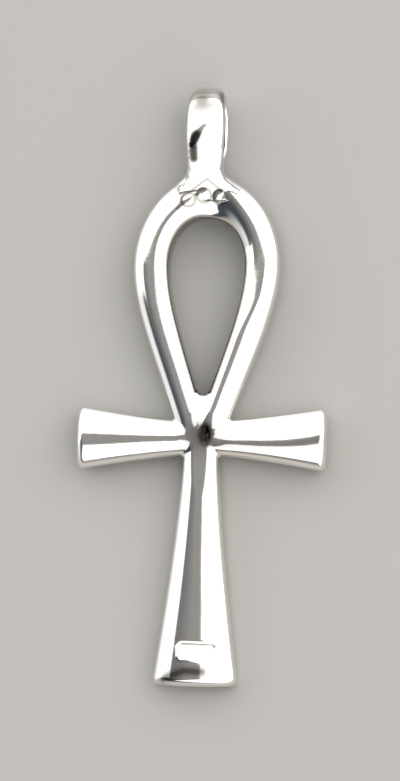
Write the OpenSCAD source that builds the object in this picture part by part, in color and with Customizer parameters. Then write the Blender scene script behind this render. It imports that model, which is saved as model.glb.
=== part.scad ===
// Ankh pendant in polished silver: a teardrop loop, two short arms and a long leg, all domed in
// front and flat behind, with an oval bail soldered on edge to a small neck. It lies on its back,
// on the foot's lower edge and the back of the bail, with the loop towards +Y.

/* [Metal] */
// Thickness from the flat back to the crest
thick = 2.2; // [1.6:0.1:3]
// Rise of the dome on a limb as wide as the loop's strand; it grows with the root of the width
dome_h = 0.65; // [0.4:0.05:0.8]
// Rounding along the lower edges
edge_r = 0.25; // [0.1:0.05:0.4]

/* [Loop] */
// Width of the loop over its outside
loop_w = 11; // [9:0.5:14]
// Height of the crown's outside above the middle of the cross
loop_top = 19.8; // [17:0.1:24]
// Height of the loop's widest place above the middle of the cross
belly_y = 13; // [10:0.5:14.5]
// Width of the strand at the loop's sides
strand_w = 2.65; // [1.8:0.05:3]
// Width of the strand at the crown
crown_w = 3.15; // [2:0.05:3.5]
// Width of the strand where it runs into the cross
strand_end_w = 2.05; // [1.6:0.05:2.6]
// Height of the opening's lower end above the middle of the cross
crotch_y = 3.35; // [3:0.05:3.8]

/* [Arms] */
// Distance between the two arm ends
span = 18.8; // [15:0.2:24]
// Width of an arm at the cross
arm_root_w = 2.5; // [2:0.1:3.2]
// Width of an arm at its end
arm_end_w = 4.85; // [3.6:0.05:6.5]
// Rounding of an arm's end
arm_end_r = 0.5; // [0.2:0.05:0.6]
// Turn of the arms off square, as the casting was finished by hand
arm_turn = 0.7; // [-1:0.1:1]

/* [Leg] */
// Distance from the middle of the cross to the foot
leg_l = 18.6; // [14:0.05:24]
// Width of the leg at the cross
leg_root_w = 2.6; // [2:0.1:3.2]
// Width of the foot
foot_w = 6.5; // [4.5:0.05:8.5]
// Rounding of the foot's end
foot_r = 0.55; // [0.2:0.05:0.7]

/* [Bail] */
// Length of the bail over its outside
bail_l = 6.5; // [5.8:0.1:8]
// Depth of the bail from front to back
bail_d = 4.2; // [3.6:0.1:5]
// Width of the bail's band halfway up
bail_w = 2.9; // [2:0.1:3.4]
// Width of the bail's band at its top and at the solder joint
bail_end_w = 2.4; // [1.8:0.05:2.8]
// Thickness of the bail's band
bail_t = 0.95; // [0.7:0.05:1.2]
// Sideways place of the bail, as it was soldered
bail_shift = -0.3; // [-0.4:0.05:0.4]

/* [Neck] */
// Width of the neck under the bail
neck_w = 2.65; // [2.2:0.05:3.2]
// Height of the neck above the crown
neck_h = 0.35; // [0.25:0.05:0.8]
// Reach of the neck's flare to each side along the crown
neck_flare = 1.75; // [1:0.05:2.4]

/* [Marks] */
// Diameter of each raised pip at the crown
pip_d = 0.95; // [0.5:0.05:1.2]
// Height of the pips above the dome
pip_h = 0.16; // [0.1:0.02:0.3]
// Distance between the pips along the crown
pip_pitch = 1.22; // [1.2:0.02:1.6]
// Length of the blank punch mark on the foot
punch_l = 2.7; // [1.5:0.1:3.4]
// Height of the blank punch mark
punch_w = 1.1; // [0.8:0.05:1.6]
// Depth of the punch mark at the leg's crest
punch_deep = 0.22; // [0.2:0.02:0.3]
// Distance from the foot's end to the middle of the punch mark
punch_up = 2.6; // [2:0.1:6]
// Sideways place of the punch mark
punch_shift = 0.2; // [-0.4:0.05:0.4]

/* [Hidden] */

// Points round half a dome and round one lower edge
dome_steps = 7;
edge_steps = 2;
// Rows of points along each half of the crown, each lower strand, a limb and a rounded end
crown_rows = 9;
strand_rows = 12;
limb_rows = 12;
end_rows = 3;
// Rows of points along the neck's flare, round each end of the bail, and points across its band
neck_rows = 5;
bail_rows = 14;
band_steps = 10;

// A limb's sides run straight out of the cross up to this share of its length, then flare
knee = 0.3;
// How far a limb's end bows out, as a share of the end's width
end_bow = 0.025;

// Middle line of the strand: half an ellipse at the crown, then a curve into the cross. The
// handles are shares of the half width across and of the belly's height up.
mid_x = (loop_w - strand_w) / 2;
mid_top = loop_top - crown_w / 2;
strand_path = [[mid_x, belly_y], [mid_x, 0.767 * belly_y], [0.67 * mid_x, 0.543 * belly_y],
    [0.12 * mid_x, 0]];

// Round end of the oval that the bail's outside follows, and its middle nearer the neck
bail_r = bail_d / 2;
neck_top = loop_top + neck_h;
bail_sunk = 0.1;
bail_y = neck_top - bail_sunk + bail_r;
bail_mid_z = thick / 2;

// Tilt at rest: the bail's back and the foot's lower edge touch the ground together
rest_reach = bail_y + leg_l - edge_r;
rest_rise = bail_mid_z - edge_r;
rest_tilt = asin((bail_r - edge_r) / norm([rest_reach, rest_rise])) - atan2(rest_rise, rest_reach);
// Height of the foot's lowest point and places of both ends, once tilted
ground = edge_r * cos(rest_tilt) - (leg_l - edge_r) * sin(rest_tilt) - edge_r;
top_y = (bail_y + bail_l - bail_d) * cos(rest_tilt) - bail_mid_z * sin(rest_tilt) + bail_r;
foot_y = -leg_l * cos(rest_tilt) - thick / 2 * sin(rest_tilt);

silver = [0.86, 0.85, 0.83];

function bezier2(p, t) = (1 - t) ^ 2 * p[0] + 2 * t * (1 - t) * p[1] + t ^ 2 * p[2];
function bezier3(p, t) = (1 - t) ^ 3 * p[0] + 3 * t * (1 - t) ^ 2 * p[1]
    + 3 * t ^ 2 * (1 - t) * p[2] + t ^ 3 * p[3];
function unit(v) = v / norm(v);

// Height of a limb's upright sides, under its dome
function side_h(w) = max(thick - dome_h * sqrt(w / strand_w), 2.2 * edge_r);

// Section of a limb as [across, up] points, from the lower left edge over the dome to the lower
// right edge. Inset draws its sides and crest in and low lifts its back, for a rounded end.
function section(w, inset = 0, low = 0) =
    let (half = w / 2 - inset, r = edge_r, side = side_h(w), rise = thick - inset - side)
    concat(
        [for (i = [0 : edge_steps]) let (a = 90 * i / edge_steps)
            [-half + r - r * sin(a), low + r - r * cos(a)]],
        [for (i = [0 : 2 * dome_steps]) let (a = 90 * i / dome_steps)
            [-half * cos(a), side + rise * sin(a)]],
        [for (i = [edge_steps : -1 : 0]) let (a = 90 * i / edge_steps)
            [half - r + r * sin(a), low + r - r * cos(a)]]);

// Solid through rows of points, each row a closed section, with flat ends or joined in a ring
module swept(rows, ring = false) {
    n = len(rows);
    m = len(rows[0]);
    sides = [for (i = [0 : n - (ring ? 1 : 2)], j = [0 : m - 1])
        let (a = i * m, b = (i + 1) % n * m, k = (j + 1) % m)
        each [[a + j, b + j, b + k], [a + j, b + k, a + k]]];
    ends = ring ? [] : [[for (j = [m - 1 : -1 : 0]) (n - 1) * m + j], [for (j = [0 : m - 1]) j]];
    polyhedron(points = [for (row = rows) each row], faces = concat(sides, ends));
}

// Row of a strand at a place in the plan, square to the direction in which it runs
function strand_row(place, along, w) =
    let (side = unit([along[1], -along[0]]))
    [for (p = section(w)) [place[0] + p[0] * side[0], place[1] + p[0] * side[1], p[1]]];

// Right half of the loop, from the top of the crown down into the cross
module strand() {
    crown = [for (i = [0 : crown_rows]) let (a = 90 - 90 * i / crown_rows, b = mid_top - belly_y)
        strand_row([mid_x * cos(a), belly_y + b * sin(a)], [mid_x * sin(a), -b * cos(a)],
            strand_w + (crown_w - strand_w) * sin(a) ^ 4)];
    lower = [for (i = [1 : strand_rows]) let (t = i / strand_rows)
        strand_row(bezier3(strand_path, t),
            bezier3(strand_path, min(t + 0.01, 1)) - bezier3(strand_path, t - 0.01),
            strand_w + (strand_end_w - strand_w) * t)];
    swept(concat(crown, lower));
}

// Arm or leg that runs along +X from the middle of the cross, flares, and ends in a rounded edge
module limb(l, root_w, end_w, end_r) {
    flare = [[0, root_w], [knee * l, root_w], [l, end_w]];
    shaft = [for (i = [0 : limb_rows - 1])
        let (p = bezier2(flare, i / limb_rows)) [p[0], p[1], 0]];
    tip = [for (i = [0 : end_rows]) let (a = 90 * i / end_rows)
        [l - end_r + end_r * sin(a), end_w, end_r * (1 - cos(a))]];
    before = [for (s = shaft) if (s[0] < l - 1.2 * end_r) s];
    swept([for (s = concat(before, tip))
        let (left = max(edge_r - l + s[0], 0), low = edge_r - sqrt(edge_r ^ 2 - left ^ 2))
        [for (p = section(s[1], s[2], low))
            [s[0] - bow(p[1]) * end_w * s[0] / l * (2 * p[0] / s[1]) ^ 2, -p[0], p[1]]]]);
}

// Bow of a limb's end as a share of its width; the end's lower edge is straight, to rest on
function bow(up) = end_bow * min(up / edge_r, 1);

// Web that closes the crotch between the two strands, hollowed to a round end
module crotch() {
    crotch_r = 0.2 * strand_w;
    difference() {
        translate([-crotch_r, 0, edge_r])
            cube([2 * crotch_r, crotch_y + 0.6 * crotch_r, 0.75 * thick - edge_r]);
        translate([0, crotch_y + crotch_r, 0])
            cylinder(r = crotch_r, h = thick, $fn = 24);
    }
}

// Neck: it rises from the crown's crest, flares in from the strand's outside, and ends as a plug
// of solder inside the bail's band
module neck() {
    root_w = neck_w + 2 * neck_flare;
    root_y = belly_y + (loop_top - belly_y) * sqrt(1 - (root_w / loop_w) ^ 2);
    flare = [[root_y, root_w, 0], [loop_top - 0.1 * neck_flare, 1.1 * neck_w, bail_shift],
        [neck_top, neck_w, bail_shift]];
    stations = concat([[mid_top, root_w, 0]],
        [for (i = [0 : neck_rows]) bezier2(flare, i / neck_rows)],
        [for (up = [0.1, 0.8]) [neck_top + up * bail_t, bail_end_w, bail_shift]]);
    swept([for (s = stations) [for (p = section(s[1])) [s[2] + p[0], s[0], p[1]]]]);
}

// Bail: a half-round band bent into an oval that stands on edge over the neck. The two half
// turns share the middle of the oval's straight stretches.
module bail() {
    stretch = bail_l - bail_d;
    turns = [for (i = [0 : bail_rows]) 180 * i / bail_rows];
    swept(ring = true, rows = [for (end = [0, 1], a = turns)
        let (b = a + 180 * end, along = (1 - end) * stretch,
            up = (bail_r * (1 + sin(b)) + along) / bail_l,
            w = bail_end_w + (bail_w - bail_end_w) * sin(180 * up))
        [for (p = band(w)) let (r = bail_r - bail_t + p[1])
            [bail_shift + p[0], bail_y + along + r * sin(b), bail_mid_z + r * cos(b)]]]);
}

// Section of the bail's band as [across, outwards] points: a low dome with rounded edges
function band(w) =
    let (lip = 0.2 * bail_t)
    concat([[-w / 2 + lip, 0], [-w / 2, lip]],
        [for (i = [1 : band_steps - 1]) let (a = 180 * i / band_steps)
            [-w / 2 * cos(a), lip + (bail_t - lip) * sin(a)]],
        [[w / 2, lip], [w / 2 - lip, 0]]);

// Three plain round pips in a row along the crown, under the neck
module pips() {
    ball = (pip_d ^ 2 / 4 + pip_h ^ 2) / (2 * pip_h);
    apart = pip_pitch / mid_x * 180 / PI;
    middle = asin(bail_shift / mid_x);
    for (i = [-1 : 1])
        let (a = middle + i * apart)
            translate([mid_x * sin(a), belly_y + (mid_top - belly_y) * cos(a), thick + pip_h - ball])
                sphere(r = ball, $fn = 32);
}

// Blank mark punched into the foot: a rounded oblong with a flat floor
module punch() {
    r = 0.2 * punch_w;
    translate([punch_shift, punch_up - leg_l, thick - punch_deep])
        for (across = [0, 1])
            let (l = punch_l - 2 * r * across, w = punch_w - 2 * r * (1 - across))
                translate([-l / 2, -w / 2, 0]) cube([l, w, thick]);
    for (x = [-1, 1], y = [-1, 1])
        translate([punch_shift + x * (punch_l / 2 - r), punch_up - leg_l + y * (punch_w / 2 - r),
            thick - punch_deep])
            cylinder(r = r, h = thick, $fn = 16);
}

module ankh() {
    color(silver)
        translate([0, -(top_y + foot_y) / 2, -ground])
            rotate([rest_tilt, 0, 0])
                difference() {
                    union() {
                        strand();
                        mirror([1, 0, 0]) strand();
                        crotch();
                        for (turn = [0, 180])
                            rotate(turn + arm_turn)
                                limb(span / 2, arm_root_w, arm_end_w, arm_end_r);
                        rotate(-90) limb(leg_l, leg_root_w, foot_w, foot_r);
                        neck();
                        bail();
                        pips();
                    }
                    punch();
                }
}

ankh();
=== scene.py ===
"""Ankh pendant in polished sterling silver, lying on a pale board under three softboxes.

The casting, the neck and the soldered bail are one skin. It starts as a fine even mesh of the solid
and is then drawn onto the exact shape: domed sections, fillets where the limbs run together, the
worn crossing, the solder, the pips and the punch mark.
"""
import math

import bpy
import numpy as np
from mathutils import Matrix, Vector


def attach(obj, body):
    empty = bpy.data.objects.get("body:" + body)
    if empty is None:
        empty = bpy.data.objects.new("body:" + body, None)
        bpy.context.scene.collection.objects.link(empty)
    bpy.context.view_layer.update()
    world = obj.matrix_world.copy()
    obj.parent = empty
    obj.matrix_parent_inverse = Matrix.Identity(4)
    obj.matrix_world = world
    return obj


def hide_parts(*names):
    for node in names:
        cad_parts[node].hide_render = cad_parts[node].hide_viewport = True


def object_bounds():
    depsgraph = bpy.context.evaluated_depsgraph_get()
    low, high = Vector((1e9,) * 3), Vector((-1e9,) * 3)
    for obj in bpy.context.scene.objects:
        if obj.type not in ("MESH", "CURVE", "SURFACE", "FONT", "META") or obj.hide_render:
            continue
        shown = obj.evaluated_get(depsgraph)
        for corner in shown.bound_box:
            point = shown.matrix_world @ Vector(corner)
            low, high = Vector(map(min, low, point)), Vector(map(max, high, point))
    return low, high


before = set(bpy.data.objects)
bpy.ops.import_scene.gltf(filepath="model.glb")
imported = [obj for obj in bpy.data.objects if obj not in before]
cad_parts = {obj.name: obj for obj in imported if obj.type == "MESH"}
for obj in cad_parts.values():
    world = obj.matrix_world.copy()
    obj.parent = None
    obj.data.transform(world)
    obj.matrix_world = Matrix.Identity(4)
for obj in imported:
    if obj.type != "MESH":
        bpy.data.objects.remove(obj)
cad_low, cad_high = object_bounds()

# Sizes of the pendant in millimetres, as the solid has them
THICK, DOME_H, EDGE_R = 2.2, 0.65, 0.25
LOOP_W, LOOP_TOP, BELLY_Y = 11.0, 19.8, 13.0
STRAND_W, CROWN_W, STRAND_END_W, CROTCH_Y = 2.65, 3.15, 2.05, 3.35
SPAN, ARM_ROOT_W, ARM_END_W, ARM_END_R, ARM_TURN = 18.8, 2.5, 4.85, 0.5, 0.7
LEG_L, LEG_ROOT_W, FOOT_W, FOOT_R = 18.6, 2.6, 6.5, 0.55
BAIL_L, BAIL_D, BAIL_W, BAIL_END_W, BAIL_T, BAIL_SHIFT = 6.5, 4.2, 2.9, 2.4, 0.95, -0.3
BAIL_SUNK = 0.1
NECK_W, NECK_H, NECK_FLARE = 2.65, 0.35, 1.75
PIP_D, PIP_PITCH = 0.95, 1.22
PUNCH_L, PUNCH_W, PUNCH_DEEP, PUNCH_UP, PUNCH_SHIFT = 2.7, 1.1, 0.22, 2.6, 0.2
# How quickly the crown's extra width and the strand's taper set in, as powers
CROWN_FALL, STRAND_TAPER = 4, 1.5
# Shares of a limb's length up to which its sides run straight and at which its flare stops growing,
# and how far its end bows out as a share of the end's width
KNEE, FLARE_STOP, END_BOW = 0.3, 1.2, 0.025

# Places and sizes that follow from them. The strand's handles are shares of the half width across and
# of the belly's height up.
MID_X = (LOOP_W - STRAND_W) / 2
MID_TOP = LOOP_TOP - CROWN_W / 2
STRAND_PATH = [(MID_X, BELLY_Y), (MID_X, 0.767 * BELLY_Y), (0.67 * MID_X, 0.543 * BELLY_Y),
               (0.12 * MID_X, 0.0)]
CROTCH_R = 0.2 * STRAND_W
WEB_TOP_Y = CROTCH_Y + 0.6 * CROTCH_R
NECK_TOP = LOOP_TOP + NECK_H
NECK_ROOT_W = NECK_W + 2 * NECK_FLARE
NECK_WAIST_W = 1.1 * NECK_W
NECK_WAIST_Y = LOOP_TOP - 0.1 * NECK_FLARE
BAIL_R = BAIL_D / 2
BAIL_Y = NECK_TOP - BAIL_SUNK + BAIL_R
BAIL_MID_Z = THICK / 2
BAIL_LIP = 0.2 * BAIL_T
PUNCH_R = 0.2 * PUNCH_W

# Metres to a millimetre of the drawing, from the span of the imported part
MM = (cad_high.x - cad_low.x) / SPAN

# The mesh: its spacing in millimetres, how often its vertices are drawn onto the surface and how far
# at most, the least square of the slope that a step is worked out with, and how often and how strongly
# the mesh is evened in between
VOXEL = 0.1
DRAW_ROUNDS, DRAW_LIMIT, DRAW_STEEP = 9, 0.3, 0.05
EVEN_ROUNDS, EVEN_SHARE = 6, 0.6
# A strand's middle line: its last t, the points tried first and the rounds that sharpen the best one
STRAND_LAST, STRAND_TRIES, STRAND_ROUNDS = 2, 121, 4
# Small steps for slopes, and guards for divisions
FINE, TINY, TINIEST = 1e-3, 1e-6, 1e-9

# Fillets between the limbs in millimetres, which narrow to a sharp line at the crests, and how far
# a limb's rounded root reaches past the middle of the cross
FILLET, SHARP = 0.25, 0.02
ROOT_OVER, ROOT_R = 0.6, 1.0
# The crotch's web: its fillet, its top and that top's edge, and how softly its front runs into the strands
CROTCH_FILLET, CROTCH_TOP, CROTCH_EDGE = 0.8, 1.85, 0.45
CROTCH_SEAM, CROTCH_SOFT, CROTCH_SOFT_FROM = 0.03, 0.4, 1.4
# The neck's root over the crown's middle, and its end inside the bail's band
NECK_ROOT, NECK_IN, NECK_END_R = 0.3, 0.6 * BAIL_T, 0.1
# Solder from the crown onto the bail's front: its lean from the foot up, the slope that it gains past
# the knee, its edge, its width beside the neck's, and its end short of the bail's hole
SOLDER_FOOT, SOLDER_LEAN, SOLDER_KNEE, SOLDER_SLOPE, SOLDER_BEND = 18.6, 0.165, 19.9, 0.205, 0.35
SOLDER_EDGE, SOLDER_SOFT, SOLDER_WIDE, SOLDER_WIDEN_Y = 0.12, 0.08, 0.75, LOOP_TOP - 0.5
SOLDER_TOP, SOLDER_FILLET, HOLE_CLEAR = 21.6, 0.12, 0.8 * BAIL_T
# Small beads that it has left: place and height
BEADS, BEAD_WIDE = [(-0.98, 20.3, 0.025), (-0.22, 20.15, 0.018), (0.6, 19.95, 0.02)], 0.17
# The worn crossing, which runs out along the leg, and the pit in it
CROSS_PLACE, CROSS_DEEP, CROSS_DISH, CROSS_SOFT = (0.0, 0.2), 0.065, 0.045, 0.1
CROSS_TAIL, CROSS_REACH = 0.4, 3.0
PIT_PLACE, PIT_DEEP, PIT_WIDE, PIT_TALL = (0.34, 0.28), 0.09, 0.2, 0.42

# Where filing moved a crest off the middle of its limb, as a share of the half width
ARM_CREST, ARM_CREST_FROM, ARM_CREST_END, ARM_CREST_FALL, ARM_CREST_STOP = -0.25, 1.5, 8.6, 4, 1.1
STRAND_CREST, STRAND_CREST_FROM, STRAND_CREST_TO = -0.38, 11.0, 7.5
PEAK_CREST, PEAK_X, PEAK_WEST, PEAK_EAST, PEAK_FADE = 0.7, 0.4, 1.2, 1.8, 2
# Power of the dome's curve: 2 is an ellipse, less draws the crest sharper and more flattens it
ELLIPSE, PEAK_POWER, BAIL_POWER, BAIL_FRONT_POWER = 2.0, 1.35, 2.4, 6.0
# The bail's front: a soft slanting ridge left by the file, and a slow curve along the band
RIDGE_X, RIDGE_Y, RIDGE_TURN, RIDGE_SOFT, RIDGE_SLOPE = -0.62, 22.2, 0.2, 0.4, 0.15
FRONT_Y, FRONT_BEND = 23.25, 0.067
# The marks: the pips' worn height and how flat-topped they are, and the punch's edges, the metal pushed
# up round it and its floor's tilt
PIP_WORN, PIP_FLAT = 0.03, 4
PUNCH_EDGE, PUNCH_SOFT, PUNCH_RIM, PUNCH_RIM_WIDE, PUNCH_TILT = 0.02, 0.06, 0.025, 0.16, 0.075
# Waves that hand polishing leaves: height, length in millimetres and its spread, how many are laid over
# each other, and how far round one may start
WAVE_HIGH, WAVE_LONG, WAVE_SHORTEST, WAVE_LONGEST = 0.004, 6.0, 0.7, 1.4
WAVES, WAVE_SEED, WAVE_ROUND = 5, 7, 6.3

# Dark spots, in the pit, on the crossing round it and twice on top of the bail: oxide and film, with
# painted dark reflections in them, most on the crossing. Place, reach across and along, strength, and the
# power of the fall, which is lower for a flatter spot
TARNISH_AND_REFLECTION_SPOTS = [(PIT_PLACE, 0.32, 0.567, 2.2, 1.0), (CROSS_PLACE, 1.1, 0.95, 0.42, 0.6),
              ((-0.6, 25.3), 0.95, 0.85, 0.55, 1.0), ((0.95, 25.6), 0.4, 1.0, 0.5, 1.0)]
# Streaks of film with painted dark reflection in them, in a file mark over the pips and by the foot's end,
# and on the right arm's crest, where the streak is a painted dark reflection: corners, reach and strength
TARNISH_AND_REFLECTION_STREAKS = [([(-2.27, 17.2), (-1.92, 18.05), (-0.09, 19.46), (0.99, 18.59)], 0.1, 0.4),
                ([(-2.3, -18.05), (-0.76, -17.45), (0.6, -17.5)], 0.34, 0.6),
                ([(1.8, -0.4), (4.5, -0.5), (6.7, -0.35), (9.0, 0.1)], 0.35, 0.22)]
# Painted dark reflection off the bail's ridge with oxide laid over it, down the left of the bail's front,
# even in the middle and falling off between two shares
RIDGE_REFLECTION_AND_STAIN, STAIN_WIDE, STAIN_DARK = [(-0.9, 22.7), (-1.15, 22.25), (-1.1, 20.95)], 0.34, 0.9
STAIN_FROM, STAIN_TO = 0.1, 0.9
# Film in a ring round each pip
RING_R, RING_WIDE, RING_DARK = 0.55 * PIP_D, 0.1, 0.45
# Painted dark reflection on the walls inside the loop: on steep parts and on low ones
INNER_STEEP_DARK, INNER_STEEP_FROM, INNER_STEEP_TO = 0.3, 0.92, 0.8
INNER_LOW_DARK, INNER_LOW_FROM, INNER_LOW_TO = 0.4, 1.6, 1.4
INNER_MIDDLE, INNER_SOUTH, INNER_NORTH = 10.5, CROTCH_Y - 0.5, LOOP_TOP - 0.8


def length(*parts):
    """Length of the vectors with these components."""
    return np.sqrt(sum(p * p for p in parts))


def bezier(handles, t):
    """Value at t of the curve with those handles."""
    while len(handles) > 1:
        handles = [(1 - t) * a + t * b for a, b in zip(handles, handles[1:])]
    return handles[0]


def fade(value, start, end):
    """Smooth 0 to 1 as the value goes from start to end."""
    share = np.clip((value - start) / (end - start), 0, 1)
    return share * share * (3 - 2 * share)


def overlap(a, b, r):
    """What two solids share, with the edge between them rounded to radius r."""
    u, v = a + r, b + r
    return np.minimum(np.maximum(u, v), 0) + length(np.maximum(u, 0), np.maximum(v, 0)) - r


def joined(a, b, r):
    """Two solids run together with a fillet of radius r."""
    return -overlap(-a, -b, r)


def bump(p, place, wide, tall=None):
    """Round hill of height 1 at a place in the plan, to lay on or take off."""
    return np.exp(-((p[0] - place[0]) / wide) ** 2 - ((p[1] - place[1]) / (tall or wide)) ** 2)


def near_line(p, corners, wide):
    """1 on a line through those corners in the plan, fading to 0 beside it."""
    near = np.full_like(p[0], np.inf)
    for (x0, y0), (x1, y1) in zip(corners, corners[1:]):
        run = (x1 - x0) ** 2 + (y1 - y0) ** 2
        t = np.clip(((p[0] - x0) * (x1 - x0) + (p[1] - y0) * (y1 - y0)) / run, 0, 1)
        near = np.minimum(near, length(p[0] - x0 - t * (x1 - x0), p[1] - y0 - t * (y1 - y0)))
    return np.exp(-(near / wide) ** 2)


def on_front(p):
    """True on the front half of the thickness."""
    return p[2] > THICK / 2


def domed(across, up, half, side, rise, edge, crest=0.0, power=ELLIPSE):
    """Section with a flat back, rounded lower edges, upright sides and a dome on them. Crest is the
    place of its highest line, as a share of the half width."""
    off = across - crest * half
    reach = half * (1 - crest * np.sign(off))
    u, v = np.abs(off) / reach, np.maximum(up - side, TINY) / rise
    near = np.maximum((u ** power + v ** power) ** (1 / power), FINE)
    steep = length(u ** (power - 1) / reach, v ** (power - 1) / rise)
    dome = (near - 1) * near ** (power - 1) / np.maximum(steep, TINY)
    return np.where(up > side, dome, overlap(np.abs(across) - half, -up, edge))


def limb_section(across, up, half, crest=0.0, power=ELLIPSE):
    """Section of a limb: its dome rises with the root of the width."""
    rise = DOME_H * np.sqrt(2 * half / STRAND_W)
    return domed(across, up, half, THICK - rise, rise, EDGE_R, crest, power)


def strand_line(t):
    """Middle line and half width of the loop's right half: t is 0 at its top, 1 at the belly and
    2 in the cross."""
    turn = np.clip(t, 0, 1) * math.pi / 2
    down = np.clip(t - 1, 0, 1)
    crown = t < 1
    x = np.where(crown, MID_X * np.sin(turn), bezier([h[0] for h in STRAND_PATH], down))
    y = np.where(crown, BELLY_Y + (MID_TOP - BELLY_Y) * np.cos(turn),
                 bezier([h[1] for h in STRAND_PATH], down))
    width = np.where(crown, STRAND_W + (CROWN_W - STRAND_W) * np.cos(turn) ** CROWN_FALL,
                     bezier([STRAND_W, STRAND_END_W], down ** STRAND_TAPER))
    return x, y, width / 2


def beside_strand(x, y, first):
    """How far the points lie to the side of the strand's middle line, and its half width there. The
    line counts from t = first."""
    steps = np.linspace(first, STRAND_LAST, STRAND_TRIES)
    line_x, line_y, _ = strand_line(steps)
    square = (x[:, None] - line_x) ** 2 + (y[:, None] - line_y) ** 2
    near = np.clip(square.argmin(1), 1, len(steps) - 2)
    before, here, after = (square[np.arange(len(x)), near + k] for k in (-1, 0, 1))
    slide = 0.5 * (before - after) / np.maximum(before - 2 * here + after, TINIEST)
    t = np.clip(steps[near] + np.clip(slide, -1, 1) * (steps[1] - steps[0]), first, STRAND_LAST)
    for _ in range(STRAND_ROUNDS):
        (x0, y0, _), (x1, y1, _) = strand_line(t - FINE), strand_line(t + FINE)
        mid_x, mid_y, half = strand_line(t)
        run = length(x1 - x0, y1 - y0)
        ahead = ((x - mid_x) * (x1 - x0) + (y - mid_y) * (y1 - y0)) / run
        across = ((x - mid_x) * (y0 - y1) + (y - mid_y) * (x1 - x0)) / run
        t = np.clip(t + 2 * FINE * ahead / run, first, STRAND_LAST)
    return across, half


def strand(x, y, z, right, first=0.0):
    """One half of the loop, ending in a rounded root past the middle of the cross. Right is true
    on the right-hand strand."""
    across, half = beside_strand(x, y, first)
    off = np.where(right, x, -x) - PEAK_X
    peak = np.exp(-(off / np.where(off > 0, PEAK_EAST, PEAK_WEST)) ** 2)
    peak = peak * fade(y, BELLY_Y, BELLY_Y + PEAK_FADE)
    crest = PEAK_CREST * peak + STRAND_CREST * right * fade(y, STRAND_CREST_FROM, STRAND_CREST_TO)
    body = limb_section(across, z, half, crest, ELLIPSE - (ELLIPSE - PEAK_POWER) * peak)
    return overlap(body, -y - ROOT_OVER, ROOT_R)


def limb(along, across, z, reach, root_w, end_w, end_r, crest=0.0):
    """Arm or leg: straight out of the cross, then flaring, to a bowed end with a rounded edge."""
    share = np.clip(along / reach, 0, FLARE_STOP)
    t = (np.sqrt(KNEE ** 2 + (1 - 2 * KNEE) * share) - KNEE) / (1 - 2 * KNEE)
    half = bezier([root_w, root_w, end_w], t) / 2
    end = along + END_BOW * end_w * share * (across / half) ** 2 - reach
    return overlap(limb_section(across, z, half, crest), end, end_r)


def arms(x, y, z):
    """Both arms, turned a little. The right one's crest is filed off the middle up to its end."""
    turn = math.radians(ARM_TURN)
    along = np.abs(x * math.cos(turn) + y * math.sin(turn))
    across = y * math.cos(turn) - x * math.sin(turn)
    share = np.minimum(along / ARM_CREST_END, ARM_CREST_STOP)
    crest = ARM_CREST * fade(x, 0.0, ARM_CREST_FROM) * (1 - share ** ARM_CREST_FALL)
    return limb(along, across, z, SPAN / 2, ARM_ROOT_W, ARM_END_W, ARM_END_R, crest)


def leg(x, y, z):
    """Leg, with a rounded root past the middle of the cross."""
    return overlap(limb(-y, x, z, LEG_L, LEG_ROOT_W, FOOT_W, FOOT_R), y - ROOT_OVER, ROOT_R)


def crotch(x, y, z):
    """Web that closes the crotch between the two strands, hollowed to a round end."""
    web = overlap(np.abs(x) - 2 * CROTCH_R, overlap(-y, y - WEB_TOP_Y, 0.0), 0.0)
    web = overlap(web, CROTCH_R - length(x, y - CROTCH_Y - CROTCH_R), 0.0)
    return overlap(overlap(web, z - CROTCH_TOP, CROTCH_EDGE), EDGE_R - z, 0.0)


def neck_plan(y):
    """Half width of the flared neck, and how far it has shifted to the side."""
    root_y = BELLY_Y + (LOOP_TOP - BELLY_Y) * math.sqrt(1 - (NECK_ROOT_W / LOOP_W) ** 2)
    rise = NECK_WAIST_Y - root_y
    bend = root_y - 2 * NECK_WAIST_Y + NECK_TOP
    height = np.clip(y, root_y, NECK_TOP) - root_y
    t = (np.sqrt(np.maximum(rise ** 2 + bend * height, 0)) - rise) / bend
    return bezier([NECK_ROOT_W, NECK_WAIST_W, NECK_W], t) / 2, bezier([0, BAIL_SHIFT, BAIL_SHIFT], t)


def neck(x, y, z):
    """Domed neck from the crown's crest into the bail's band."""
    half, shift = neck_plan(y)
    body = overlap(limb_section(x - shift, z, half), MID_TOP + NECK_ROOT - y, ROOT_R)
    return overlap(body, y - NECK_TOP - NECK_IN, NECK_END_R)


def solder(x, y, z):
    """Solder that climbs from the crown along the neck's front onto the band, short of its hole."""
    half, shift = neck_plan(y)
    climb = (y - SOLDER_KNEE + length(y - SOLDER_KNEE, SOLDER_BEND)) / 2
    filed = ridge(x, y) * fade(y, NECK_TOP, BAIL_Y)
    top = THICK + SOLDER_LEAN * (y - SOLDER_FOOT) + SOLDER_SLOPE * climb - filed
    wide = half * (SOLDER_WIDE + (1 - SOLDER_WIDE) * fade(y, SOLDER_WIDEN_Y, NECK_TOP))
    body = overlap(np.abs(x - shift) - wide, (z - top) / math.hypot(1, SOLDER_SLOPE), SOLDER_EDGE)
    hole = BAIL_R - HOLE_CLEAR - length(y - BAIL_Y, z - BAIL_MID_Z)
    ends = np.maximum(MID_TOP - NECK_ROOT - y, y - SOLDER_TOP)
    return overlap(body, np.maximum(np.maximum(THICK / 2 - z, hole), ends), 0.0)


def ridge(x, y):
    """How much the file took off the bail's front on either side of a slanting ridge."""
    off = x - BAIL_SHIFT - RIDGE_X - RIDGE_TURN * (y - RIDGE_Y)
    return RIDGE_SLOPE * (length(off, RIDGE_SOFT) - RIDGE_SOFT)


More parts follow.
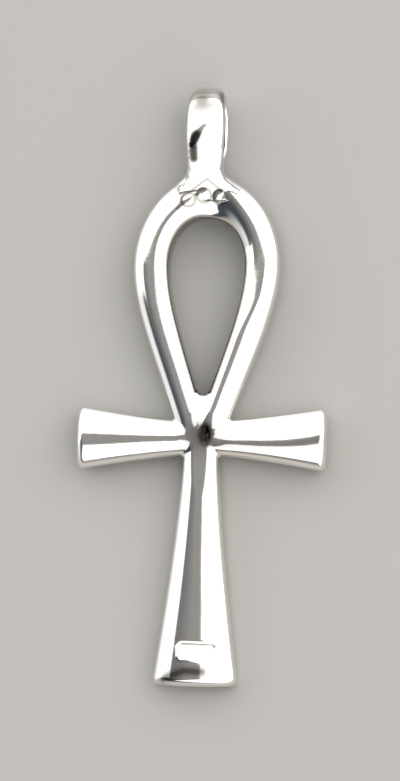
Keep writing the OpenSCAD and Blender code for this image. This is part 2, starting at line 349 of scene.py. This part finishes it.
def bail(x, y, z):
    """Band bent into an oval that stands on edge, its front filed to a soft ridge."""
    stretch = np.clip(y, BAIL_Y, BAIL_Y + BAIL_L - BAIL_D)
    out = length(y - stretch, z - BAIL_MID_Z) - BAIL_R + BAIL_T
    front = np.clip((z - BAIL_MID_Z) / BAIL_R, 0, 1) ** 2
    power = BAIL_POWER + (BAIL_FRONT_POWER - BAIL_POWER) * front
    out += (ridge(x, y) + FRONT_BEND / 2 * (y - FRONT_Y) ** 2) * front
    up = np.clip((y - BAIL_Y + BAIL_R) / BAIL_L, 0, 1)
    width = BAIL_END_W + (BAIL_W - BAIL_END_W) * np.sin(math.pi * up)
    return domed(x - BAIL_SHIFT, out, width / 2, BAIL_LIP, BAIL_T - BAIL_LIP, BAIL_LIP, 0.0, power)


def worn_crossing(x, y, z):
    """Everything under the shallow dish that wear left on the crossing, with its tail down the leg."""
    north = y - CROSS_PLACE[1]
    square = length(x - CROSS_PLACE[0], np.where(north > 0, north, CROSS_TAIL * north)) ** 2
    return z - THICK + CROSS_DEEP - CROSS_DISH * square - (square > CROSS_REACH ** 2)


def punch(x, y, z):
    """Blank oblong sunk into the foot, and the metal that it pushes up around itself."""
    up = y + LEG_L - PUNCH_UP
    plan = overlap(np.abs(x - PUNCH_SHIFT) - PUNCH_L / 2, np.abs(up) - PUNCH_W / 2, PUNCH_R)
    sunk = overlap(plan, THICK - PUNCH_DEEP - PUNCH_TILT * up - z, PUNCH_EDGE)
    rim = PUNCH_RIM * np.exp(-(plan / PUNCH_RIM_WIDE) ** 2) * (z > THICK / 2)
    return sunk, rim


def pit(p):
    """Depth of the casting's pit in the crossing."""
    return PIT_DEEP * bump(p, PIT_PLACE, PIT_WIDE, PIT_TALL) * on_front(p)


def beads(p):
    """Relief of the small beads that the solder has left."""
    return sum(high * bump(p, place, BEAD_WIDE) for *place, high in BEADS) * on_front(p)


def from_pips(p):
    """Distances in the plan from the three pips, which stand in a row along the crown."""
    middle = math.asin(BAIL_SHIFT / MID_X)
    for i in (-1, 0, 1):
        a = middle + i * PIP_PITCH / MID_X
        yield length(p[0] - MID_X * math.sin(a), p[1] - BELLY_Y - (MID_TOP - BELLY_Y) * math.cos(a))


def pips(p):
    """Relief of the three round pips, worn low."""
    return sum(PIP_WORN * np.exp(-(off / (PIP_D / 2)) ** PIP_FLAT) for off in from_pips(p)) * on_front(p)


def polish_waves(p):
    """Slow waves that hand polishing leaves in the surface."""
    draw = np.random.default_rng(WAVE_SEED)
    total = np.zeros_like(p[0])
    for _ in range(WAVES):
        way = draw.normal(size=3)
        way *= 2 * math.pi / (WAVE_LONG * draw.uniform(WAVE_SHORTEST, WAVE_LONGEST)) / np.linalg.norm(way)
        start = draw.uniform(0, WAVE_ROUND)
        total += np.sin(way[0] * p[0] + way[1] * p[1] + way[2] * p[2] + start)
    return WAVE_HIGH * total / 2


def skin(p):
    """Signed distance from the finished surface in millimetres."""
    x, y, z = p
    low = np.sqrt(np.clip((THICK - z) / DOME_H, 0, 1))
    fillet = FILLET * low + SHARP
    seam = CROTCH_SEAM + CROTCH_SOFT * fade(z, CROTCH_SOFT_FROM, CROTCH_TOP) * (y < CROTCH_Y)
    solid = strand(np.abs(x), y, z, x > 0)
    solid = joined(solid, strand(-np.abs(x), y, z, x < 0, first=1.0), CROTCH_FILLET * low + SHARP)
    solid = joined(solid, crotch(x, y, z), seam)
    solid = joined(solid, arms(x, y, z), fillet)
    solid = joined(solid, leg(x, y, z), fillet)
    solid = joined(solid, joined(neck(x, y, z), solder(x, y, z), SOLDER_SOFT), fillet)
    solid = joined(solid, bail(x, y, z), SOLDER_FILLET)
    sunk, rim = punch(x, y, z)
    solid = overlap(solid - rim, -sunk, PUNCH_SOFT)
    solid = overlap(solid, worn_crossing(x, y, z), CROSS_SOFT)
    return solid + pit(p) - pips(p) - beads(p) + polish_waves(p)


def slope(p):
    """Skin distance and its gradient."""
    here = skin(p)
    steps = [skin(p + FINE * np.eye(3)[i][:, None]) for i in range(3)]
    return here, np.array([(s - here) / FINE for s in steps])


def front_tarnish_and_painted_reflection(p):
    """How dark oxide, film and painted dark reflections make the front: 0 is clean, 0.5 a full film and 1
    black oxide.
    """
    dark = sum(most * bump(p, place, wide, tall) ** fall for place, wide, tall, most, fall in TARNISH_AND_REFLECTION_SPOTS)
    dark += sum(most * near_line(p, corners, wide) for corners, wide, most in TARNISH_AND_REFLECTION_STREAKS)
    dark += STAIN_DARK * fade(near_line(p, RIDGE_REFLECTION_AND_STAIN, STAIN_WIDE), STAIN_FROM, STAIN_TO)
    dark += sum(RING_DARK * np.exp(-((off - RING_R) / RING_WIDE) ** 2) for off in from_pips(p))
    return dark * on_front(p)


def inner_wall_painted_reflection(p, normals):
    """The same scale of darkness for the walls inside the loop, where it is a painted dark reflection."""
    inwards = normals[0] * p[0] + normals[1] * (p[1] - INNER_MIDDLE) < 0
    wall = inwards * (p[1] > INNER_SOUTH) * (p[1] < INNER_NORTH)
    steep = INNER_STEEP_DARK * fade(np.abs(normals[2]), INNER_STEEP_FROM, INNER_STEEP_TO)
    return wall * (steep + INNER_LOW_DARK * fade(p[2], INNER_LOW_FROM, INNER_LOW_TO))


def rest_pose():
    """From the flat drawing in millimetres to the part at rest in metres: it tips until the bail's
    back and the foot's lower edge touch the ground together."""
    reach, rise = BAIL_Y + LEG_L - EDGE_R, BAIL_MID_Z - EDGE_R
    tilt = math.asin((BAIL_R - EDGE_R) / math.hypot(reach, rise)) - math.atan2(rise, reach)
    ground = EDGE_R * math.cos(tilt) - (LEG_L - EDGE_R) * math.sin(tilt) - EDGE_R
    top_y = (BAIL_Y + BAIL_L - BAIL_D) * math.cos(tilt) - BAIL_MID_Z * math.sin(tilt) + BAIL_R
    foot_y = -LEG_L * math.cos(tilt) - THICK / 2 * math.sin(tilt)
    shift = Matrix.Translation((0, -(top_y + foot_y) / 2, -ground))
    return Matrix.Scale(MM, 4) @ shift @ Matrix.Rotation(tilt, 4, "X")


def even_mesh(node, pose):
    """Even fine mesh of a CAD node, in millimetres of the flat drawing."""
    mesh = node.data.copy()
    mesh.transform(pose.inverted())
    body = bpy.data.objects.new("pendant_casting", mesh)
    bpy.context.scene.collection.objects.link(body)
    remesh = body.modifiers.new("even", "REMESH")
    remesh.mode = "VOXEL"
    remesh.voxel_size = VOXEL
    graph = bpy.context.evaluated_depsgraph_get()
    body.data = bpy.data.meshes.new_from_object(body.evaluated_get(graph))
    body.modifiers.clear()
    return body


def draw_onto_skin(mesh):
    """Moves every vertex onto the exact surface and keeps the mesh even. Returns their places."""
    n = len(mesh.vertices)
    p = np.empty(n * 3)
    mesh.vertices.foreach_get("co", p)
    p = p.reshape(-1, 3).T.copy()
    edges = np.empty(len(mesh.edges) * 2, int)
    mesh.edges.foreach_get("vertices", edges)
    a, b = edges.reshape(-1, 2).T
    count = np.bincount(np.concatenate([a, b]), minlength=n)
    for rounds in range(DRAW_ROUNDS):
        here, grad = slope(p)
        step = -here / np.maximum((grad ** 2).sum(0), DRAW_STEEP)
        p += grad * np.clip(step, -DRAW_LIMIT, DRAW_LIMIT)
        if rounds < EVEN_ROUNDS:
            mean = np.array([np.bincount(a, c[b], n) + np.bincount(b, c[a], n) for c in p]) / count
            pull = mean - p
            normal = grad / np.maximum(length(*grad), TINY)
            p += EVEN_SHARE * (pull - normal * (pull * normal).sum(0))
    mesh.vertices.foreach_set("co", p.T.ravel())
    return p


def keep_in_box(mesh):
    """Brings what polishing raised past the solid's box back onto its sides."""
    co = np.empty(len(mesh.vertices) * 3)
    mesh.vertices.foreach_get("co", co)
    inside = np.clip(co.reshape(-1, 3), np.array(cad_low), np.array(cad_high))
    mesh.vertices.foreach_set("co", inside.ravel())


def casting(node):
    """The whole pendant as one skin over the solid, with its film, oxide and painted dark reflections, and
    the surface's own normals.
    """
    pose = rest_pose()
    body = even_mesh(node, pose)
    mesh = body.data
    p = draw_onto_skin(mesh)
    _, grad = slope(p)
    normals = grad / length(*grad)
    mesh.transform(pose)
    keep_in_box(mesh)
    # Darkness per vertex: real tarnish and oxide, plus painted dark reflections on parts of the front and
    # on the walls inside the loop
    tarnish_and_painted_dark = mesh.attributes.new("tarnish_and_painted_dark", "FLOAT", "POINT")
    dark = np.clip(front_tarnish_and_painted_reflection(p) + inner_wall_painted_reflection(p, normals), 0, 1)
    tarnish_and_painted_dark.data.foreach_set("value", dark.astype(np.float32))
    mesh.polygons.foreach_set("use_smooth", [True] * len(mesh.polygons))
    turn = np.array(pose.to_3x3().normalized())
    mesh.normals_split_custom_set_from_vertices((turn @ normals).T.tolist())
    mesh.update()
    return body


def linear(code):
    """Linear colour of an sRGB hex value."""
    parts = [int(code[i:i + 2], 16) / 255 for i in (1, 3, 5)]
    return [c / 12.92 if c <= 0.04045 else ((c + 0.055) / 1.055) ** 2.4 for c in parts] + [1.0]


def add(tree, kind, sockets=(), **settings):
    """Adds a node. Sockets map an input's name or number to its value or to the output it takes."""
    made = tree.nodes.new(kind)
    for name, value in settings.items():
        setattr(made, name, value)
    for name, value in dict(sockets).items():
        if isinstance(value, bpy.types.NodeSocket):
            tree.links.new(value, made.inputs[name])
        else:
            made.inputs[name].default_value = value
    return made


def new_material(name):
    """Empty material of that name, and its node tree."""
    made = bpy.data.materials.new(name)
    made.use_nodes = True
    made.node_tree.nodes.clear()
    return made, made.node_tree


# Wheel lines run along X. Each is about half a millimetre long and a sixth of that wide: real ones are
# finer, and these are as coarse as they need to show.
LINES_PER_MM, LINES_CLOSER, LINES_DEEP, LINES_SHOW = 2.2, 6.0, 0.003, 0.25
# Roughness where the wheel cut least and most, and the noise values that stand for them
SILVER_SMOOTH, SILVER_ROUGH, LINES_LEAST, LINES_MOST = 0.04, 0.1, 0.3, 0.7
# Patches of cooler and warmer silver, 4 mm across
PATCHES_PER_MM = 0.25
# Full film at this value of tarnish_and_painted_dark, and oxide from this value to this one, where it
# hides so much. These film and oxide colours also paint dark reflections.
FILM_FULL, OXIDE_FROM, OXIDE_TO, OXIDE_MOST = 0.5, 0.4, 1.0, 0.98


def polished_sterling_silver():
    """Sterling silver, cast and buffed by hand: a near-white mirror with faint wheel lines, a thin uneven
    film of tarnish, and dark oxide where the buff doesn't reach. The same film and oxide colours also
    paint dark reflections on the walls inside the loop and on parts of the front."""
    made, tree = new_material("polished_sterling_silver")
    place = add(tree, "ShaderNodeTexCoord").outputs["Object"]
    patch = add(tree, "ShaderNodeTexNoise", {"Vector": place, "Scale": PATCHES_PER_MM / MM, "Detail": 2.0})
    tint = add(tree, "ShaderNodeMix", {0: patch.outputs[0], 6: linear("#EAEDF1"), 7: linear("#F6F0E6")},
               data_type="RGBA")
    # Film grey and oxide black from tarnish_and_painted_dark: they paint both real tarnish and oxide and
    # the painted dark reflections
    tarnish_and_painted_dark = add(tree, "ShaderNodeAttribute", attribute_name="tarnish_and_painted_dark").outputs["Fac"]
    thin = add(tree, "ShaderNodeMapRange", {0: tarnish_and_painted_dark, 1: 0.0, 2: FILM_FULL, 3: 0.0, 4: 1.0})
    film_and_painted_dark_colour = add(tree, "ShaderNodeMix", {0: thin.outputs[0], 6: tint.outputs[2], 7: linear("#9F9A94")},
                    data_type="RGBA")
    oxide = add(tree, "ShaderNodeMapRange", {0: tarnish_and_painted_dark, 1: OXIDE_FROM, 2: OXIDE_TO, 3: 0.0, 4: OXIDE_MOST})
    colour = add(tree, "ShaderNodeMix", {0: oxide.outputs[0], 6: film_and_painted_dark_colour.outputs[2],
                                         7: linear("#1E1813")}, data_type="RGBA")
    spread = add(tree, "ShaderNodeMapping", {"Vector": place, "Scale": (1.0, LINES_CLOSER, 1.0)})
    lines = add(tree, "ShaderNodeTexNoise", {"Vector": spread.outputs[0], "Scale": LINES_PER_MM / MM,
                                             "Detail": 3.0})
    rough = add(tree, "ShaderNodeMapRange", {0: lines.outputs[0], 1: LINES_LEAST, 2: LINES_MOST,
                                             3: SILVER_SMOOTH, 4: SILVER_ROUGH})
    relief = add(tree, "ShaderNodeBump", {"Strength": LINES_SHOW, "Distance": LINES_DEEP * MM,
                                          "Height": lines.outputs[0]})
    metal = add(tree, "ShaderNodeBsdfPrincipled",
                {"Base Color": colour.outputs[2], "Metallic": 1.0, "Roughness": rough.outputs[0],
                 "Normal": relief.outputs[0]})
    add(tree, "ShaderNodeOutputMaterial", {"Surface": metal.outputs[0]})
    return made


# The board: half its side in metres, and its fibres' tooth, of which 3 cross a millimetre
BOARD_HALF = 1.5
TOOTH_PER_MM, TOOTH_DEEP, TOOTH_SHOW = 3.0, 0.02, 0.1


def matt_board():
    """Uncoated pale grey board: even and matt, with a faint tooth."""
    made, tree = new_material("matt_board")
    place = add(tree, "ShaderNodeTexCoord").outputs["Object"]
    tooth = add(tree, "ShaderNodeTexNoise", {"Vector": place, "Scale": TOOTH_PER_MM / MM, "Detail": 2.0})
    relief = add(tree, "ShaderNodeBump", {"Strength": TOOTH_SHOW, "Distance": TOOTH_DEEP * MM,
                                          "Height": tooth.outputs[0]})
    paper = add(tree, "ShaderNodeBsdfPrincipled",
                {"Base Color": linear("#A5A39F"), "Roughness": 0.85, "Normal": relief.outputs[0]})
    add(tree, "ShaderNodeOutputMaterial", {"Surface": paper.outputs[0]})
    return made


def board():
    """Wide flat board that the pendant lies on."""
    side = BOARD_HALF
    mesh = bpy.data.meshes.new("board")
    mesh.from_pydata([(-side, -side, 0), (side, -side, 0), (side, side, 0), (-side, side, 0)], [],
                     [(0, 1, 2, 3)])
    made = bpy.data.objects.new("board", mesh)
    bpy.context.scene.collection.objects.link(made)
    mesh.materials.append(matt_board())
    return made


# The photograph: its size and the cross's middle in pixels, millimetres to a pixel, and the lean
PHOTO_W, PHOTO_H = 400, 781
CROSS_PX = (202.1, 438.9)
PX_MM = 0.075
LEAN = 1.9
# The camera: metres from the pendant, its side and height in degrees, sensor in mm and nearest and
# farthest metres that it sees
CAMERA_FAR = 0.4
CAMERA_SIDE, CAMERA_HIGH = 45.0, 81.5
SENSOR = 36.0
SEE_FROM, SEE_TO = 0.01, 10


def photo_camera(middle):
    """Camera almost straight above, with the middle of the cross at its place in the photograph."""
    lean = math.radians(LEAN)
    right, up = Vector((math.cos(lean), math.sin(lean), 0)), Vector((-math.sin(lean), math.cos(lean), 0))
    off = right * (PHOTO_W / 2 - CROSS_PX[0]) - up * (PHOTO_H / 2 - CROSS_PX[1])
    target = middle + off * PX_MM * MM
    side, high = math.radians(CAMERA_SIDE), math.radians(CAMERA_HIGH)
    back = Vector((math.sin(side) * math.cos(high), -math.cos(side) * math.cos(high), math.sin(high)))
    across = up.cross(back).normalized()
    axes = Matrix((across, back.cross(across), back)).transposed()
    lens = bpy.data.cameras.new("photo_camera")
    lens.sensor_width = SENSOR
    lens.lens = SENSOR * CAMERA_FAR / (PHOTO_H * PX_MM * MM)
    lens.clip_start, lens.clip_end = SEE_FROM, SEE_TO
    made = bpy.data.objects.new("photo_camera", lens)
    made.matrix_world = Matrix.Translation(target + back * CAMERA_FAR) @ axes.to_4x4()
    bpy.context.scene.collection.objects.link(made)
    bpy.context.scene.camera = made


# Light: three wide softboxes overhead, equally bright, the lowest at this height in metres and each
# next one a step higher. What they leave open is the dim ceiling, a wedge that widens to the west and
# draws the dark lines beside the crests.
BOX_HIGH, BOX_STEP, BOX_LIGHT = 0.8, 0.02, 1.2
# Name, a point of the edge beside the gap, that edge's turn in degrees, the side of it that the box
# lies on, where the box starts and ends along it, and how deep it is. All lengths are slopes from the
# pendant.
SOFTBOXES = [("softbox_north", (0.0, 0.12), 0.0, 1, -3.0, 3.0, 2.5),
             ("softbox_south", (0.05, 0.03), 50.0, -1, -0.95, 3.0, 2.0),
             ("softbox_west", (-0.60, -0.01), 5.0, 1, -4.0, 0.0, 0.3)]


def softbox(high, name, edge, turn, side, start, end, deep):
    """Overhead softbox on one side of an edge."""
    lamp = bpy.data.lights.new(name, "AREA")
    lamp.shape = "RECTANGLE"
    lamp.size, lamp.size_y = (end - start) * high, deep * high
    lamp.energy = BOX_LIGHT * math.pi * lamp.size * lamp.size_y
    made = bpy.data.objects.new(name, lamp)
    spot = Matrix.Translation((edge[0] * high, edge[1] * high, high))
    off = Matrix.Translation(((start + end) / 2 * high, side * deep / 2 * high, 0))
    made.matrix_world = spot @ Matrix.Rotation(math.radians(turn), 4, "Z") @ off
    bpy.context.scene.collection.objects.link(made)


# The room: the way to its dark corner and how near to it the ceiling darkens, the way to its pale
# window wall and where that starts and is full, and the heights at which ceiling turns into wall and
# into window wall
CORNER_WAY, CORNER_FROM, CORNER_TO = (-0.62, -0.42, 0.66), 0.76, 0.95
WINDOW_WAY, WINDOW_FROM, WINDOW_TO = (-0.5, 0.87, 0.0), -0.1, 0.25
WALL_FROM, WALL_TO = 0.6, 0.4
WINDOW_TOP_FROM, WINDOW_TOP_TO = 0.75, 0.6


def room():
    """Pale window wall to the north-west, brownish walls elsewhere, and a ceiling that darkens
    towards the south-west."""
    world = bpy.data.worlds.new("room")
    world.use_nodes = True
    tree = world.node_tree
    way = add(tree, "ShaderNodeTexCoord").outputs["Generated"]
    high = add(tree, "ShaderNodeSeparateXYZ", {0: way}).outputs["Z"]
    corner = add(tree, "ShaderNodeVectorMath", {0: way, 1: CORNER_WAY}, operation="DOT_PRODUCT")
    shade = add(tree, "ShaderNodeMapRange", {0: corner.outputs["Value"], 1: CORNER_FROM, 2: CORNER_TO,
                                             3: 0.0, 4: 1.0})
    ceiling = add(tree, "ShaderNodeMix", {0: shade.outputs[0], 6: linear("#9A9896"), 7: linear("#474D54")},
                  data_type="RGBA")
    down = add(tree, "ShaderNodeMapRange", {0: high, 1: WALL_FROM, 2: WALL_TO, 3: 0.0, 4: 1.0})
    wall = add(tree, "ShaderNodeMix", {0: down.outputs[0], 6: ceiling.outputs[2], 7: linear("#D5CFC8")},
               data_type="RGBA")
    window = add(tree, "ShaderNodeVectorMath", {0: way, 1: WINDOW_WAY}, operation="DOT_PRODUCT")
    towards = add(tree, "ShaderNodeMapRange", {0: window.outputs["Value"], 1: WINDOW_FROM, 2: WINDOW_TO,
                                               3: 0.0, 4: 1.0})
    under = add(tree, "ShaderNodeMapRange", {0: high, 1: WINDOW_TOP_FROM, 2: WINDOW_TOP_TO, 3: 0.0,
                                             4: towards.outputs[0]})
    seen = add(tree, "ShaderNodeMix", {0: under.outputs[0], 6: wall.outputs[2], 7: linear("#FFFFFF")},
               data_type="RGBA")
    tree.links.new(seen.outputs[2], tree.nodes["Background"].inputs["Color"])
    bpy.context.scene.world = world


def studio():
    """The softboxes, the room, and colours shown as they are."""
    for i, box in enumerate(SOFTBOXES):
        softbox(BOX_HIGH + i * BOX_STEP, *box)
    room()
    bpy.context.scene.view_settings.view_transform = "Standard"


photo_camera(rest_pose() @ Vector((0, 0, THICK / 2)))
pendant = casting(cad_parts["ankh"])
pendant.data.materials.clear()
pendant.data.materials.append(polished_sterling_silver())
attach(pendant, "root")
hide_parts("ankh")
board()
studio()
